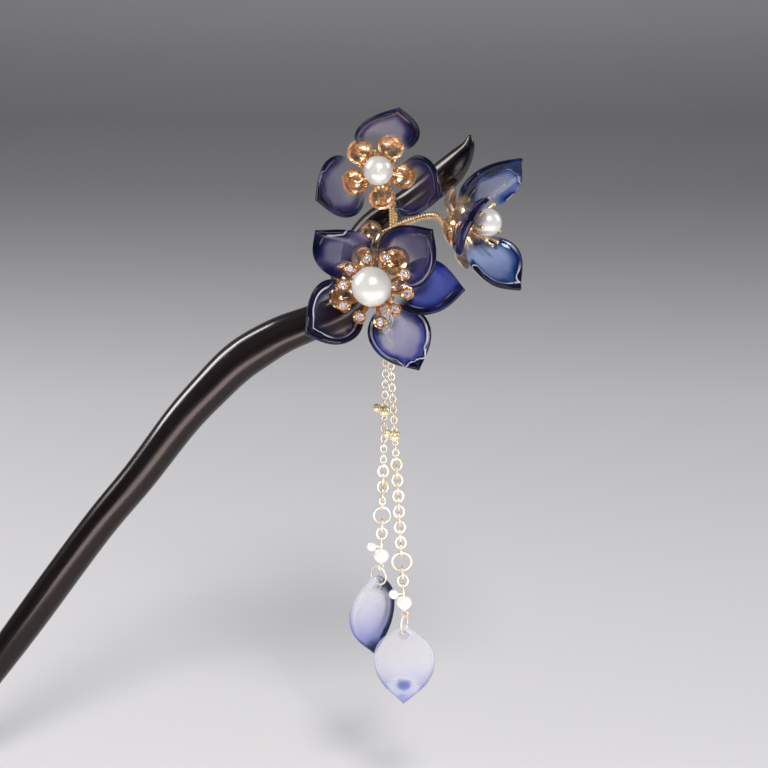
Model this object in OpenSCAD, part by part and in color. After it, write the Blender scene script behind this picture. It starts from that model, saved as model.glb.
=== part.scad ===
// Hair stick of dark wood with three glass flowers on a gold base, two of them on coiled
// stems, and a pair of gold chain tassels that end in glass petals.
// The stick's curve lies in the XZ plane, +Z is up and the flowers face -Y. The origin is
// on the stick's axis, in the straight part that is pushed into the hair.

/* [Stick] */
// Scale of the stick's width along its length
stick_w_scale = 1; // [0.98:0.01:1]
// Scale of the stick's depth from front to back
stick_d_scale = 1; // [0.98:0.01:1]

/* [Glass petals] */
// Thickness of the glass in the middle of a petal
glass_t = 1.0; // [0.8:0.1:1.0]
// Thickness of the rolled rim of a petal
rim_t = 1.6; // [1.2:0.1:1.6]

/* [Pearls] */
// Radius of the pearl in the large lower flower
pearl_a_r = 4.0; // [3.8:0.1:4.0]
// Radius of the pearl in the top flower
pearl_b_r = 2.9; // [2.6:0.1:2.9]
// Radius of the pearl in the right flower
pearl_c_r = 2.8; // [2.6:0.1:2.8]

/* [Gold work] */
// Wall of the stamped cups
cup_wall = 0.4; // [0.3:0.05:0.4]
// Outer diameter of the coiled stem of the top flower
spring_b_d = 1.9; // [1.7:0.1:1.9]
// Outer diameter of the coiled stem of the right flower
spring_c_d = 1.6; // [1.4:0.1:1.6]

/* [Chains] */
// Wire of the fine links
fine_wire = 0.28; // [0.24:0.01:0.28]
// Wire of the large links
large_wire = 0.52; // [0.46:0.02:0.52]

/* [Drops] */
// Length of a glass drop
drop_l = 18.8; // [17.2:0.2:18.8]
// Width of a glass drop
drop_w = 13.4; // [12.4:0.1:13.4]

/* [Hidden] */
$fn = 48;

// Colours of the materials
wood = "#1d1512";
glass = "#5b5f9e";
pale_glass = "#b9c3e6";
gold = "#d9a441";
pearl = "#f3ece0";
crystal = "#f4dfe6";

// Clearance between pieces that are fitted together
gap = 0.1;

// Sections of the stick from the pin's point to the tip of the leaf head
// Columns: x, z, width in the plane of the curve, depth, section power (2 is an ellipse)
stick_rows = [
    [-42.6, -58.6, 1.5, 1.5, 2],
    [-41.7, -57.3, 2.8, 2.8, 2],
    [-38.5, -52.9, 4.2, 4.2, 2],
    [-29.0, -39.9, 5.9, 5.7, 2],
    [-15.9, -21.9, 7.1, 6.7, 2],
    [0, 0, 7.1, 6.8, 2],
    [10.0, 12.4, 7.3, 6.9, 2],
    [19.2, 24.7, 7.7, 7.1, 2],
    [26.2, 32.5, 8.2, 7.3, 2],
    [30.6, 36.9, 8.5, 7.4, 2],
    [34.6, 39.9, 8.5, 7.4, 2],
    [40.3, 43.3, 7.9, 7.3, 2],
    [46.3, 45.8, 7.3, 7.1, 2],
    [51.2, 47.7, 7.1, 7.0, 2],
    [54.8, 50.3, 7.3, 7.0, 2],
    [56.5, 53.9, 7.7, 7.0, 2],
    [56.5, 58.0, 7.9, 6.9, 2],
    [57.0, 62.0, 7.5, 6.7, 2],
    [58.8, 65.6, 6.5, 6.3, 1.9],
    [61.6, 68.5, 5.6, 5.9, 1.75],
    [65.8, 71.0, 5.6, 5.7, 1.55],
    [70.4, 74.1, 6.2, 5.4, 1.4],
    [74.2, 77.2, 6.4, 5.0, 1.35],
    [76.9, 80.4, 5.0, 4.2, 1.35],
    [78.4, 83.0, 2.8, 2.8, 1.4],
    [78.8, 85.2, 0.7, 0.8, 1.6]
];
// Sides of the stick's section, and rings for each row above
stick_sides = 16;
stick_steps = 2;

// Flower frames
// Columns: centre x, y, z, turn about the vertical, rise of the axis above level
flower_a = [59.9, -8.0, 54.7, -7, 24];
flower_b = [60.4, -9.0, 79.8, 0, 13];
flower_c = [76.4, -8.0, 68.3, 68, 13];

// Petals of each flower
// Columns: azimuth, pitch, roll, length, width, sideways lean of the tip, side cup, end curl, lift
petals_a = [
    [123, 12, -6, 14.4, 12.1, 3.8, 1.4, 3.2, 0],
    [44, 21, 2, 17.0, 13.0, -0.5, 1.9, 5.4, 1.05],
    [3, 7, -16, 16.8, 12.6, -1.9, 1.8, 3.2, 0.12],
    [-60, 6, -13, 17.2, 12.7, 0, 2.0, 3.2, 0],
    [-148, 19, -4, 15.6, 13.4, 1.9, 2.6, 3.2, 0]
];
petals_b = [
    [82, 29, 7, 13.8, 12.7, -1.9, 1.7, 4.6, 0],
    [202, 27, -4, 14.6, 12.5, 0.5, 1.6, 4.6, 0],
    [-23, 28, 6, 14.8, 12.5, 0.7, 1.8, 4.6, 0]
];
petals_c = [
    [70, 31, -18, 14.8, 13.6, -4.0, 2.0, 4.5, 0],
    [-89, 27, 18, 14.8, 13.4, -1.6, 2.2, 4.4, 0],
    [162, 22, -32, 14.2, 12.8, 0, 2.4, 2.8, 0]
];
// Start of the petals, from the flower's axis and above its base
petal_start = 2.4;
petal_base = 1.35;
// Steps round a petal's outline
petal_steps = 28;
// Rings from the outline inwards
// Columns: distance in from the outline, share of the rim's extra thickness, rounding
rim_rows = [[0.14, 0.55, 0.72], [0.5, 1, 1], [0.95, 0.9, 1], [1.6, 0, 1]];
// Rings on the flat of the glass, as shares of the last rim ring
flat_rings = [0.66, 0.33];

// Gold calyx behind each flower
disc_r = 3.4;
disc_t = 0.5;
boss_r = 2.9;
boss_h = 0.5;
pin_r = 0.4;
// Arms under the cups: radius, root from the axis, and their end below and short of the cup
cup_arm_r = 0.42;
cup_arm_root = 2.4;
cup_arm_under = 0.35;
cup_arm_short = 0.6;
// Cups of the calyx
// Columns: azimuth, distance from the axis, height, inward tilt, radius, depth
cups_a = [
    [110, 7.4, -0.5, 10, 2.2, 0.8],
    [60, 7.6, -0.3, 12, 2.4, 0.9],
    [153, 7.6, -0.4, 12, 2.2, 0.8],
    [18, 6.9, -0.9, 2, 2.2, 0.8],
    [190, 7.2, -0.1, 14, 2.0, 0.8],
    [97, 12.0, 1.7, 10, 1.9, 0.8]
];
cups_b = [
    [-10, 5.7, 0.4, 27, 2.1, 0.9],
    [62, 5.7, 0.4, 27, 2.1, 0.9],
    [134, 5.7, 0.4, 27, 2.1, 0.9],
    [206, 5.7, 0.4, 27, 2.1, 0.9],
    [278, 5.7, 0.4, 27, 2.1, 0.9]
];
cups_c = [
    [34, 5.9, -0.6, 12, 2.5, 1.0],
    [106, 5.9, -0.6, 12, 2.5, 1.0],
    [178, 5.9, -0.6, 12, 2.5, 1.0],
    [250, 5.9, -0.6, 12, 2.5, 1.0],
    [322, 5.9, -0.6, 12, 2.5, 1.0]
];
// Peg of the large flower in the stick: offset from the flower's axis, radius and length
peg_x = -2.5;
peg_y = 0.6;
peg_r = 0.8;
peg_l = 7.4;
// Eye that the chains hang from: place behind the flower, ring radius, wire and its bar
eye_x = 2.1;
eye_y = -0.5;
eye_z = -3.1;
eye_r = 1.1;
eye_wire = 0.5;
eye_bar_r = 0.35;
// Sockets for the coiled stems behind the two upper flowers
socket_l = 1.7;
socket_wall = 0.35;
// Straight length of a stem before its socket
stem_in = 0.7;

// Hubs that carry the stamens: height above the base, thickness and radius
hub_z = 2.9;
hub_t = 0.5;
hub_a_r = 2.0;
hub_small_r = 1.7;
// Stamens of the large flower, each with a cut stone in a bezel
// Columns: azimuth, distance of the stone from the axis
stamens_a_rows = [
    [142, 5.7], [178, 5.7], [216, 6.6], [250, 6.5], [286, 7.2],
    [318, 6.4], [352, 7.3], [24, 6.9], [67, 6.4], [102, 5.7]
];
stamen_a_r = 0.38;
stamen_a_root = 1.65;
stamen_a_top = 6.3;
bezel_r = 1.3;
bezel_h = 0.8;
// Cut stone: radius, height of its girdle and crown, and the table's share of the radius
stone_r = 1.0;
stone_girdle = 0.25;
stone_crown = 0.45;
stone_table = 0.55;
// Short stamens of the two upper flowers
// Columns: count, reach from the axis, height of the tip
stamens_b_row = [11, 3.8, 5.6];
stamens_c_row = [10, 4.7, 6.8];
short_stamen_r = 0.3;
short_stamen_root = 1.4;

// Coiled stems: points of each route, from the hole in the stick to the flower
route_b = [
    [58.4, -1.05, 62.05], [59.8, -1.9, 62.65], [61.2, -2.75, 63.25], [62.7, -4.2, 64.3],
    [63.3, -5.8, 66.0], [63.4, -6.2, 68.4], [63.3, -5.5, 71.4], [62.5, -4.6, 74.5],
    [61.3, -4.2, 77.0]
];
route_c = [
    [60.4, -1.0, 65.6], [60.4, -2.2, 65.65], [60.5, -3.4, 65.7], [61.8, -4.15, 66.2],
    [64.0, -4.0, 67.3], [66.6, -4.1, 68.4], [69.2, -4.5, 69.4], [71.6, -5.1, 69.8],
    [73.1, -6.0, 69.0]
];
stem_sides = 10;
stem_steps = 2;
bore_l = 3.4;

// Chains: top of each strand, its foot, and the plane that it hangs in
ring_at = [62.25, -6.0, 50.65];
chain_ring_r = 1.9;
chain_ring_wire = 0.5;
// Columns: top x, top z, foot x, foot z, depth y
strand_left = [62.1, 48.75, 61.0, -1.0, -4.8];
strand_right = [62.4, 48.75, 65.1, -1.0, -7.2];
fine_w = 1.5;
fine_l = 2.02;
large_w = 2.6;
large_l = 3.08;
hanger_w = 2.1;
hanger_l = 3.1;

// Links: inner length along the chain, and the distance between two links that interlock
fine_in = fine_l * (1 - 2 * fine_wire / fine_w);
large_in = large_l * (1 - 2 * large_wire / large_w);
hanger_in = hanger_l * (1 - 2 * fine_wire / hanger_w);
fine_pitch = fine_in - gap;
large_pitch = large_in - gap;
// Small eyes soldered to balls and pins, and the rings at the ends of the chains
eye_small_r = 0.5;
eye_small_wire = 0.26;
eye_in = eye_small_r - eye_small_wire / 2;
pin_eye_r = 0.7;
pin_eye_in = pin_eye_r - eye_small_wire / 2;
end_ring_wire = 0.5;
drop_ring_r = 2.0;
drop_ring_wire = 0.4;
// Gold balls on the fine chain: radii, the small ball's place and that of the eyes
ball_r = 1.15;
ball_small_r = 0.85;
ball_small_x = -1.64;
ball_small_z = 0.64;
ball_eye = ball_r + eye_small_r - 0.15;
// White beads on the pins: place of the bead between the two eyes
bead_r = 1.65;
bead_small_r = 1.05;
bead_small_x = -2.1;
bead_small_z = 1.95;
bead_pin_r = 0.25;
bead_arm_r = 0.18;
bead_arm_l = 2.4;
bead_bore_l = 2.5;
bead_drop = 3.6;
pin_tail = 2.6;
// Hole of a glass drop: radius, distance below its top and below the ring's centre
hole_r = 1.05;
hole_in = 2.5;
hole_drop = 2.2;
// Side cup of a drop, and how long its hole's cutter is
drop_cup = 1.0;
hole_l = 8;

// Tassels: strand, count of fine links above the ball and below it, links before the end
// ring: large then fine ones, radius of the end ring, turn of the drop and of its ring, how
// far the ring hangs to the side, and the drop's lean from plumb
tassel_left = [strand_left, 15, 9, 4, 2, 1.75, 46, -40, -0.6, 2.2];
tassel_right = [strand_right, 19, 3, 12, 0, 2.0, -5, 70, -0.6, 0];

function unit(v) = v / norm(v);
function mix(a, b, t) = a + (b - a) * t;
function sum_points(v, i = 0) = i == len(v) - 1 ? v[i] : v[i] + sum_points(v, i + 1);
function centroid(ring) = sum_points(ring) / len(ring);

// Smooth curve through rows of numbers
function curve(a, b, c, d, t) =
    0.5 * ((2 * b) + (c - a) * t + (2 * a - 5 * b + 4 * c - d) * t * t
    + (3 * b - a - 3 * c + d) * t * t * t);
function smooth(rows, steps) =
    let (last = len(rows) - 1)
    [
        for (i = [0:last - 1])
            for (k = [0:steps - 1])
                curve(rows[max(i - 1, 0)], rows[i], rows[i + 1], rows[min(i + 2, last)], k / steps),
        rows[last]
    ];
function tangent(path, i) = unit(path[min(i + 1, len(path) - 1)] - path[max(i - 1, 0)]);

// Closed solid over a list of rings with the same number of points
module skin(rings) {
    count = len(rings[0]);
    last = len(rings) - 1;
    pole = count * len(rings);
    points = concat(
        [for (ring = rings) each ring],
        [centroid(rings[0]), centroid(rings[last])]
    );
    sides = [
        for (i = [0:last - 1])
            for (j = [0:count - 1])
                let (
                    next = (j + 1) % count,
                    a = i * count + j,
                    b = i * count + next,
                    c = (i + 1) * count + next,
                    d = (i + 1) * count + j
                )
                each [[a, b, c], [a, c, d]]
    ];
    caps = [
        for (j = [0:count - 1])
            let (next = (j + 1) % count)
            each [
                [pole, next, j],
                [pole + 1, last * count + j, last * count + next]
            ]
    ];
    polyhedron(points = points, faces = concat(sides, caps), convexity = 10);
}

module at_flower(f) {
    translate([f[0], f[1], f[2]])
        rotate([90 - f[4], 0, f[3]])
            children();
}

function superellipse(angle, power) =
    let (c = cos(angle), s = sin(angle))
    [sign(c) * pow(abs(c), 2 / power), sign(s) * pow(abs(s), 2 / power)];

module stick_form() {
    rows = smooth(stick_rows, stick_steps);
    path = [for (r = rows) [r[0], 0, r[1]]];
    rings = [
        for (i = [0:len(rows) - 1])
            let (along = tangent(path, i), side = [-along[2], 0, along[0]])
            [
                for (k = [0:stick_sides - 1])
                    let (p = superellipse(360 * k / stick_sides, rows[i][4]))
                    path[i] + side * p[0] * rows[i][2] / 2 * stick_w_scale
                    + [0, p[1] * rows[i][3] / 2 * stick_d_scale, 0]
            ]
    ];
    skin(rings);
}

module peg(radius, length) {
    translate([peg_x, peg_y, -length])
        cylinder(r = radius, h = length);
}

// Hole along the start of a stem's route
module stem_hole(route, diameter) {
    out = unit(route[1] - route[0]);
    translate(route[0] - out * 0.5)
        rotate([0, acos(out[2]), atan2(out[1], out[0])])
            cylinder(d = diameter + 2 * gap, h = bore_l + 2);
}

module stick() {
    color(wood)
        difference() {
            stick_form();
            at_flower(flower_a)
                peg(peg_r + gap, peg_l + gap);
            stem_hole(route_b, spring_b_d);
            stem_hole(route_c, spring_c_d);
        }
}

// Round tube along a route
module tube(route, diameter, guide) {
    path = smooth(route, stem_steps);
    skin([
        for (i = [0:len(path) - 1])
            let (
                along = tangent(path, i),
                side = unit(cross(along, guide)),
                up = cross(side, along)
            )
            [
                for (k = [0:stem_sides - 1])
                    let (angle = 360 * k / stem_sides)
                    path[i] + (side * cos(angle) + up * sin(angle)) * diameter / 2
            ]
    ]);
}

// Point on the axis of a flower, behind its base
function behind(f, depth) =
    [f[0], f[1], f[2]]
    - depth * [sin(f[3]) * cos(f[4]), -cos(f[3]) * cos(f[4]), sin(f[4])];

// Straight end of a stem that runs into the socket of its flower
function stem_end(f) =
    [for (depth = [disc_t + socket_l + stem_in, disc_t + socket_l, disc_t + gap * 2]) behind(f, depth)];

module spring_b() {
    color(gold)
        tube(
            concat(route_b, stem_end(flower_b)),
            spring_b_d, [1, 0, 0]
        );
}

module spring_c() {
    color(gold)
        tube(
            concat(route_c, stem_end(flower_c)),
            spring_c_d, [0, 0, 1]
        );
}

// Share of a petal's half width at a share of its length
function petal_share(t) = pow(max(sin(180 * pow(t, 0.93)), 0), 1.1 - 0.5 * sin(180 * t));
function petal_edge(k, length, width, lean) =
    let (
        side = k <= petal_steps / 2 ? -1 : 1,
        t = 0.5 - 0.5 * cos(360 * k / petal_steps)
    )
    [length * t, side * width / 2 * petal_share(t) + lean * t * t];
function dish(p, length, width, lean, cup, curl) =
    let (t = p[0] / length)
    cup * pow(2 * (p[1] - lean * t * t) / width, 2) + curl * t * t;

// Glass petal along +X, with a thin dished middle and a thick rolled rim
module glass_petal(length, width, lean, cup, curl) {
    centre = [length / 2, lean / 4];
    edge = [for (k = [0:petal_steps - 1]) petal_edge(k, length, width, lean)];
    inner = rim_rows[len(rim_rows) - 1][0];
    function inwards(p, distance, share) =
        let (way = p - centre)
        centre + way * max(1 - distance / norm(way), 0.1) * share;
    function lifted(ring, half) =
        [for (p = ring) [p[0], p[1], dish(p, length, width, lean, cup, curl) + half]];
    rims = [
        for (row = rim_rows)
            [
                [for (p = edge) inwards(p, row[0], 1)],
                mix(glass_t, rim_t, row[1]) / 2 * row[2]
            ]
    ];
    flats = [for (share = flat_rings) [[for (p = edge) inwards(p, inner, share)], glass_t / 2]];
    levels = concat(rims, flats);
    last = len(levels) - 1;
    skin(concat(
        [for (i = [last:-1:0]) lifted(levels[i][0], levels[i][1])],
        [lifted(edge, 0)],
        [for (i = [0:last]) lifted(levels[i][0], -levels[i][1])]
    ));
}

module petal(f, p) {
    color(glass, 0.75)
        at_flower(f)
            rotate([0, 0, p[0]])
                translate([petal_start, 0, petal_base + p[8]])
                    rotate([0, -p[1], 0])
                        rotate([p[2], 0, 0])
                            glass_petal(p[3], p[4], p[5], p[6], p[7]);
}

// Straight round bar between two points
module bar(start, end, radius) {
    way = end - start;
    translate(start)
        rotate([0, acos(way[2] / norm(way)), atan2(way[1], way[0])])
            cylinder(r = radius, h = norm(way));
}

module ring(radius, wire) {
    rotate_extrude()
        translate([radius, 0])
            circle(d = wire);
}

// Shallow stamped bowl that opens along +Z
module cup(radius, depth) {
    ball = (radius * radius + depth * depth) / (2 * depth);
    intersection() {
        translate([0, 0, ball])
            difference() {
                sphere(r = ball + cup_wall, $fn = 96);
                sphere(r = ball, $fn = 96);
            }
        translate([0, 0, -2 * cup_wall])
            cylinder(r = radius + 2 * cup_wall, h = depth + 2 * cup_wall);
    }
}

module calyx_cup(c) {
    rotate([0, 0, c[0]]) {
        translate([c[1], 0, c[2]])
            rotate([0, -c[3], 0])
                cup(c[4], c[5]);
        bar(
            [cup_arm_root, 0, -disc_t / 2],
            [c[1] - cup_arm_short, 0, c[2] - cup_arm_under],
            cup_arm_r
        );
    }
}

// Gold disc with its cups and the pin that carries petals, stamens and pearl
module calyx_front(cups, pearl_r) {
    translate([0, 0, -disc_t])
        cylinder(r = disc_r, h = disc_t);
    translate([0, 0, -disc_t / 2])
        cylinder(r = boss_r, h = boss_h + disc_t / 2);
    translate([0, 0, -disc_t / 2])
        cylinder(r = pin_r, h = hub_z + hub_t + pearl_r + disc_t / 2);
    for (c = cups)
        calyx_cup(c);
}

module calyx_a() {
    color(gold)
        at_flower(flower_a) {
            calyx_front(cups_a, pearl_a_r);
            translate([0, 0, -disc_t / 2])
                peg(peg_r, peg_l - disc_t / 2);
            bar(
                [eye_x, eye_y + eye_r, -disc_t / 2],
                [eye_x, eye_y + eye_r, eye_z],
                eye_bar_r
            );
            translate([eye_x, eye_y, eye_z])
                ring(eye_r, eye_wire);
        }
}

module socket(stem_d) {
    difference() {
        translate([0, 0, -disc_t - socket_l])
            cylinder(d = stem_d + 2 * gap + 2 * socket_wall, h = socket_l + disc_t / 2);
        translate([0, 0, -disc_t - socket_l - 1])
            cylinder(d = stem_d + 2 * gap, h = socket_l + 1);
    }
}

module calyx_b() {
    color(gold)
        at_flower(flower_b) {
            calyx_front(cups_b, pearl_b_r);
            socket(spring_b_d);
        }
}

module calyx_c() {
    color(gold)
        at_flower(flower_c) {
            calyx_front(cups_c, pearl_c_r);
            socket(spring_c_d);
        }
}

module hub(radius) {
    translate([0, 0, hub_z])
        cylinder(r = radius, h = hub_t);
}

module hub_bore() {
    translate([0, 0, hub_z - 1])
        cylinder(r = pin_r + gap, h = hub_t + 2);
}

module stamens_a() {
    color(gold)
        at_flower(flower_a)
            difference() {
                union() {
                    hub(hub_a_r);
                    for (s = stamens_a_rows)
                        rotate([0, 0, s[0]]) {
                            bar(
                                [stamen_a_root, 0, hub_z + hub_t / 5],
                                [s[1], 0, stamen_a_top + bezel_h / 4],
                                stamen_a_r
                            );
                            translate([s[1], 0, stamen_a_top])
                                cylinder(r = bezel_r, h = bezel_h);
                        }
                }
                hub_bore();
                for (s = stamens_a_rows)
                    rotate([0, 0, s[0]])
                        translate([s[1], 0, stamen_a_top + bezel_h / 2])
                            cylinder(r = stone_r + gap, h = bezel_h);
            }
}

// Cut stone with a table, eight crown facets and a flat girdle
module stone() {
    cylinder(r = stone_r, h = stone_girdle, $fn = 8);
    translate([0, 0, stone_girdle])
        cylinder(r1 = stone_r, r2 = stone_r * stone_table, h = stone_crown, $fn = 8);
}

module crystals_a() {
    color(crystal)
        at_flower(flower_a)
            for (s = stamens_a_rows)
                rotate([0, 0, s[0]])
                    translate([s[1], 0, stamen_a_top + bezel_h / 2 + gap])
                        stone();
}

// Ring of short bars with a bead at each end
module short_stamens(row) {
    count = row[0];
    tip = [row[1], 0, row[2]];
    difference() {
        union() {
            hub(hub_small_r);
            for (k = [0:count - 1])
                rotate([0, 0, 360 * k / count]) {
                    bar([short_stamen_root, 0, hub_z + 0.3 * hub_t], tip, short_stamen_r);
                    translate(tip)
                        sphere(r = 1.5 * short_stamen_r);
                }
        }
        hub_bore();
    }
}

module stamens_b() {
    color(gold)
        at_flower(flower_b)
            short_stamens(stamens_b_row);
}

module stamens_c() {
    color(gold)
        at_flower(flower_c)
            short_stamens(stamens_c_row);
}

module drilled_pearl(f, radius) {
    color(pearl)
        at_flower(f)
            difference() {
                translate([0, 0, hub_z + hub_t + gap + radius])
                    sphere(r = radius);
                cylinder(r = pin_r + gap, h = hub_z + hub_t + 1.2 * radius);
            }
}

// Lean of a strand from the vertical
function lean_of(strand) = atan2(strand[2] - strand[0], strand[1] - strand[3]);

// Place on a strand at a distance below its top
module on_strand(strand, distance, turn = 0) {
    translate([strand[0], strand[4], strand[1]])
        rotate([0, -lean_of(strand), 0])
            translate([0, 0, -distance])
                rotate([0, 0, turn])
                    children();
}

// Upright ring in the XZ plane
module upright_ring(radius, wire) {
    rotate([90, 0, 0])
        ring(radius, wire);
}

// Oval link in the XZ plane
module link(width, length, wire) {
    scale([1, 1, length / width])
        upright_ring((width - wire) / 2, wire);
}

module fine_links(strand, first, count, turn) {
    for (k = [0:count - 1])
        on_strand(strand, first + k * fine_pitch, turn + 90 * (k % 2))
            link(fine_w, fine_l, fine_wire);
}

module large_links(strand, first, count, turn) {
    for (k = [0:count - 1])
        on_strand(strand, first + k * large_pitch, turn + 90 * (k % 2))
            link(large_w, large_l, large_wire);
}

// Distances down a strand to each of its parts
function first_fine() = hanger_in / 2 + fine_in / 2 - gap;
function ball_at(t) = first_fine() + (t[1] - 1) * fine_pitch + fine_in / 2 + eye_in - gap + ball_eye;
function lower_at(t) = ball_at(t) + ball_eye + eye_in + fine_in / 2 - gap;
function large_at(t) = lower_at(t) + (t[2] - 1) * fine_pitch + fine_in / 2 + large_in / 2 - gap;
function large_end(t) = large_at(t) + (t[3] - 1) * large_pitch + large_in / 2;
function spacer_at(t) = large_end(t) + fine_in / 2 - gap;
function spacer_end(t) = t[4] == 0 ? large_end(t) : spacer_at(t) + (t[4] - 1) * fine_pitch + fine_in / 2;
function end_ring_in(t) = t[5] - end_ring_wire / 2;
function end_ring_at(t) = spacer_end(t) + end_ring_in(t) - gap;
function end_link_at(t) = end_ring_at(t) + end_ring_in(t) + large_in / 2 - gap;
function pin_at(t) = end_link_at(t) + large_pitch + large_in / 2 + pin_eye_in - gap;
function bead_at(t) = pin_at(t) + bead_drop;
function tail_at(t) = bead_at(t) + pin_tail;
function beside(reach, side) = sqrt(reach * reach - side * side);
function drop_ring_at(t) =
    tail_at(t) + beside(pin_eye_in + drop_ring_r - drop_ring_wire / 2 - gap, t[8]);
function hole_at(t) = drop_ring_at(t) + beside(hole_drop, t[8]);

module fine_chain(t) {
    color(gold) {
        on_strand(t[0], 0)
            link(hanger_w, hanger_l, fine_wire);
        fine_links(t[0], first_fine(), t[1], 90);
    }
}

module ball_charm(t) {
    color(gold)
        on_strand(t[0], ball_at(t)) {
            rotate([90, 0, 0])
                sphere(r = ball_r);
            translate([ball_small_x, 0, ball_small_z])
                rotate([90, 0, 0])
                    sphere(r = ball_small_r);
            for (z = [-ball_eye, ball_eye])
                translate([0, 0, z])
                    upright_ring(eye_small_r, eye_small_wire);
        }
}

module lower_chain(t) {
    color(gold)
        fine_links(t[0], lower_at(t), t[2], 90);
}

module large_chain(t) {
    color(gold) {
        large_links(t[0], large_at(t), t[3], 0);
        if (t[4] > 0)
            fine_links(t[0], spacer_at(t), t[4], 0);
    }
}

module end_ring(t) {
    color(gold)
        on_strand(t[0], end_ring_at(t))
            upright_ring(t[5], end_ring_wire);
}

module end_links(t) {
    color(gold)
        large_links(t[0], end_link_at(t), 2, 90);
}

module bead_pin(t) {
    color(gold)
        on_strand(t[0], bead_at(t)) {
            translate([0, 0, -pin_tail + pin_eye_r])
                cylinder(r = bead_pin_r, h = bead_drop + pin_tail - 2 * pin_eye_r);
            translate([0, 0, bead_drop])
                rotate([0, 0, 90])
                    upright_ring(pin_eye_r, eye_small_wire);
            translate([0, 0, -pin_tail])
                rotate([0, 0, t[7] + 90])
                    upright_ring(pin_eye_r, eye_small_wire);
            translate([0, 0, bead_small_z])
                bar([0, 0, 0], [-bead_arm_l, 0, 0], bead_arm_r);
        }
}

module large_bead(t) {
    color(pearl)
        on_strand(t[0], bead_at(t))
            difference() {
                sphere(r = bead_r);
                translate([0, 0, -2 * bead_r])
                    cylinder(r = bead_pin_r + gap, h = 4 * bead_r);
            }
}

module small_bead(t) {
    color(pearl)
        on_strand(t[0], bead_at(t))
            difference() {
                translate([bead_small_x, 0, bead_small_z])
                    sphere(r = bead_small_r);
                translate([0, 0, bead_small_z])
                    bar([0, 0, 0], [-bead_bore_l, 0, 0], bead_arm_r + gap);
            }
}

module drop_ring(t) {
    color(gold)
        on_strand(t[0], drop_ring_at(t), t[7])
            translate([t[8], 0, 0])
                upright_ring(drop_ring_r, drop_ring_wire);
}

// Glass drop that hangs from the centre of its hole
module pierced_drop() {
    difference() {
        translate([0, 0, hole_in])
            rotate([0, 90, 90])
                glass_petal(drop_l, drop_w, 0, drop_cup, 0);
        rotate([90, 0, 0])
            cylinder(r = hole_r, h = hole_l, center = true);
    }
}

module drop(t) {
    aside = 2 * t[8];
    color(pale_glass, 0.75)
        on_strand(t[0], hole_at(t))
            translate([aside * cos(t[7]), aside * sin(t[7]), 0])
                rotate([0, lean_of(t[0]) + t[9], 0])
                    rotate([0, 0, t[6]])
                        pierced_drop();
}

module chain_ring() {
    color(gold)
        translate(ring_at)
            rotate([0, 90, 0])
                ring(chain_ring_r, chain_ring_wire);
}

stick();
calyx_a();
petal(flower_a, petals_a[0]);  // petal_a1
petal(flower_a, petals_a[1]);  // petal_a2
petal(flower_a, petals_a[2]);  // petal_a3
petal(flower_a, petals_a[3]);  // petal_a4
petal(flower_a, petals_a[4]);  // petal_a5
stamens_a();
crystals_a();
drilled_pearl(flower_a, pearl_a_r);  // pearl_a
spring_b();
calyx_b();
petal(flower_b, petals_b[0]);  // petal_b1
petal(flower_b, petals_b[1]);  // petal_b2
petal(flower_b, petals_b[2]);  // petal_b3
stamens_b();
drilled_pearl(flower_b, pearl_b_r);  // pearl_b
spring_c();
calyx_c();
petal(flower_c, petals_c[0]);  // petal_c1
petal(flower_c, petals_c[1]);  // petal_c2
petal(flower_c, petals_c[2]);  // petal_c3
stamens_c();
drilled_pearl(flower_c, pearl_c_r);  // pearl_c
chain_ring();
fine_chain(tassel_left);  // fine_chain_left
ball_charm(tassel_left);  // ball_left
lower_chain(tassel_left);  // lower_chain_left
large_chain(tassel_left);  // large_chain_left
end_ring(tassel_left);  // end_ring_left
end_links(tassel_left);  // end_link_left
bead_pin(tassel_left);  // bead_pin_left
large_bead(tassel_left);  // large_bead_left
small_bead(tassel_left);  // small_bead_left
drop_ring(tassel_left);  // drop_ring_left
drop(tassel_left);  // drop_left
fine_chain(tassel_right);  // fine_chain_right
ball_charm(tassel_right);  // ball_right
lower_chain(tassel_right);  // lower_chain_right
large_chain(tassel_right);  // large_chain_right
end_ring(tassel_right);  // end_ring_right
end_links(tassel_right);  // end_link_right
bead_pin(tassel_right);  // bead_pin_right
large_bead(tassel_right);  // large_bead_right
small_bead(tassel_right);  // small_bead_right
drop_ring(tassel_right);  // drop_ring_right
drop(tassel_right);  // drop_right
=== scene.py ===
"""Hair stick of dark wood with three glass flowers, coiled stems and two chain tassels.

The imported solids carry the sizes. This script adds the polished surfaces over them: the
carved stick, the lampwork petals and drops, the wound stems and every finish."""

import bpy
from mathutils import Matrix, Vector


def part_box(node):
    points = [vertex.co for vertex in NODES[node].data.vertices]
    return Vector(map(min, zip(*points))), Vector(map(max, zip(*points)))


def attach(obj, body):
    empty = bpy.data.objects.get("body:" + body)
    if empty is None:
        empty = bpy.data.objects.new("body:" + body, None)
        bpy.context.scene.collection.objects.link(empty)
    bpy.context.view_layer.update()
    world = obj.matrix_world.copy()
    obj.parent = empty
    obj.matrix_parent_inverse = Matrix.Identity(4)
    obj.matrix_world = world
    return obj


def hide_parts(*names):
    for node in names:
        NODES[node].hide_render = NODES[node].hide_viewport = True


bl_info = {
    "name": "Hair Stick",
    "version": (1, 0, 0),
    "blender": (4, 5, 0),
    "location": "3D View > Sidebar > Hair Stick",
    "description": "Builds the surfaces and finishes of a hair stick with glass flowers",
    "category": "Object",
}

import math

import bmesh
import bpy
from bpy.props import FloatProperty, FloatVectorProperty, IntProperty, PointerProperty
from mathutils import Matrix, Vector
from mathutils.geometry import intersect_point_line

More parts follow.
